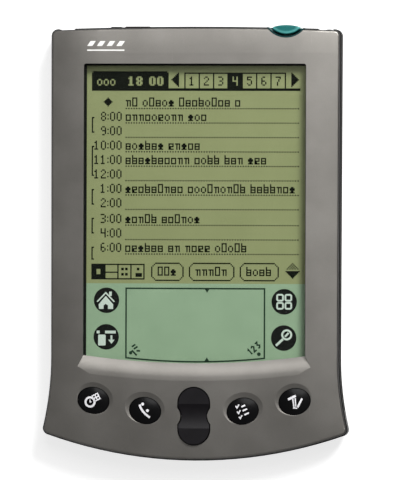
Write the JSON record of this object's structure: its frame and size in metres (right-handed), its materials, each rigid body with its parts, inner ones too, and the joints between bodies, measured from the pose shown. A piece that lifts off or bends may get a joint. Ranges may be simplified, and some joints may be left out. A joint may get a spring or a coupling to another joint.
{
  "type": "personal digital assistant",
  "caption": "Slim pocket organiser with a framed touch screen, a written-input area, domed keys, a rocking scroll key, top-edge buttons and a stylus in a side channel.",
  "frame": {"origin": "middle of the flat back, half way along the device and half way across it", "axes": "+Z out of the screen, +Y towards the top edge, +X to the right as the screen is read"},
  "size_m": [0.0814, 0.1154, 0.01],
  "materials": {
    "anodised_shell": "fine satin, grey anodised",
    "frame_black": "fine moulded texture",
    "glue": "matt",
    "gasket_foam": "closed-cell foam",
    "clear_film": "clear polyester, lightly matt",
    "clear_glass": "clear",
    "lcd_glass": "clear",
    "writing_green": "screen printed",
    "lcd_surface": "reflective monochrome display",
    "reflector": "pearl",
    "backlight_white": "satin",
    "flex_amber": "satin polyimide",
    "connector_cream": "moulded",
    "board_green": "solder mask",
    "chip_black": "moulded epoxy",
    "ferrite": "sintered",
    "can_steel": "bright",
    "speaker_metal": "satin",
    "ir_dark": "dark infrared filter",
    "power_teal": "polished",
    "key_black": "polished",
    "rocker_black": "satin",
    "battery_foil": "foil",
    "tape_white": "adhesive tape",
    "lead_red": "insulation",
    "lead_black": "insulation",
    "gold_contact": "gold flash",
    "stylus_metal": "dark satin",
    "stylus_black": "moulded"
  },
  "bodies": {
    "case": {"backlight_inductor": "ferrite", "backlight_panel": "backlight_white", "backup_capacitor": "can_steel", "battery_adhesive": "tape_white", "battery_cell": "battery_foil", "battery_connector": "connector_cream", "battery_lead_black": "lead_black", "battery_lead_red": "lead_red", "board_screws": "can_steel", "contrast_switch": "can_steel", "crystal": "can_steel", "dock_connector": "frame_black", "dock_contacts": "gold_contact", "dome_sheet": "flex_amber", "dome_switches": "can_steel", "flash_chip": "chip_black", "flex_connectors": "connector_cream", "front_adhesive": "glue", "front_shell": "anodised_shell", "ir_transceiver": "ir_dark", "ir_window": "ir_dark", "lcd_flex": "flex_amber", "lcd_front_glass": "lcd_glass", "lcd_front_polariser": "lcd_surface", "lcd_rear_glass": "lcd_glass", "lcd_rear_polariser": "reflector", "left_rail": "frame_black", "main_board": "board_green", "memory_chip": "chip_black", "mid_frame": "frame_black", "power_chip": "chip_black", "power_switch": "can_steel", "processor_chip": "chip_black", "rear_adhesive": "glue", "rear_shell": "anodised_shell", "reset_switch": "can_steel", "right_rail": "frame_black", "rocker_pin": "can_steel", "screen_gasket": "gasket_foam", "speaker": "speaker_metal", "touch_film": "clear_film", "touch_flex": "flex_amber", "touch_glass": "clear_glass", "writing_area_print": "writing_green"},
    "calendar_key": {"calendar_button": "key_black"},
    "phone_key": {"phone_button": "key_black"},
    "task_key": {"task_button": "key_black"},
    "note_key": {"note_button": "key_black"},
    "rocker": {"scroll_rocker": "rocker_black"},
    "power_key": {"power_button": "power_teal"},
    "contrast_key": {"contrast_button": "key_black"},
    "reset_key": {"reset_button": "key_black"},
    "stylus": {"stylus_barrel": "stylus_metal", "stylus_tip": "stylus_black"},
    "stylus_top": {"stylus_cap": "stylus_black", "reset_pin": "can_steel"}
  },
  "joints": [
    {"name": "calendar_press", "type": "slide", "parent": "case", "child": "calendar_key", "axis": [0, 0, -1], "range_m": [0, 0.00035], "stiffness_N_per_m": 1500},
    {"name": "phone_press", "type": "slide", "parent": "case", "child": "phone_key", "axis": [0, 0, -1], "range_m": [0, 0.00035], "stiffness_N_per_m": 1500},
    {"name": "task_press", "type": "slide", "parent": "case", "child": "task_key", "axis": [0, 0, -1], "range_m": [0, 0.00035], "stiffness_N_per_m": 1500},
    {"name": "note_press", "type": "slide", "parent": "case", "child": "note_key", "axis": [0, 0, -1], "range_m": [0, 0.00035], "stiffness_N_per_m": 1500},
    {"name": "rocker_tilt", "type": "hinge", "parent": "case", "child": "rocker", "pos_m": [0, -0.04565, 0.0072], "axis": [1, 0, 0], "range_deg": [-3, 3], "stiffness_Nm_per_rad": 0.06},
    {"name": "power_press", "type": "slide", "parent": "case", "child": "power_key", "axis": [0, -1, 0], "range_m": [0, 0.00045], "stiffness_N_per_m": 1500},
    {"name": "contrast_press", "type": "slide", "parent": "case", "child": "contrast_key", "axis": [0, -1, 0], "range_m": [0, 0.0004], "stiffness_N_per_m": 1500},
    {"name": "reset_press", "type": "slide", "parent": "case", "child": "reset_key", "axis": [0, 0, 1], "range_m": [0, 0.0003], "stiffness_N_per_m": 1000},
    {"name": "stylus_draw", "type": "slide", "parent": "case", "child": "stylus", "axis": [0, 1, 0], "range_m": [0, 0.11]},
    {"name": "stylus_cap_draw", "type": "slide", "parent": "stylus", "child": "stylus_top", "axis": [0, 1, 0], "range_m": [0, 0.02]}
  ]
}
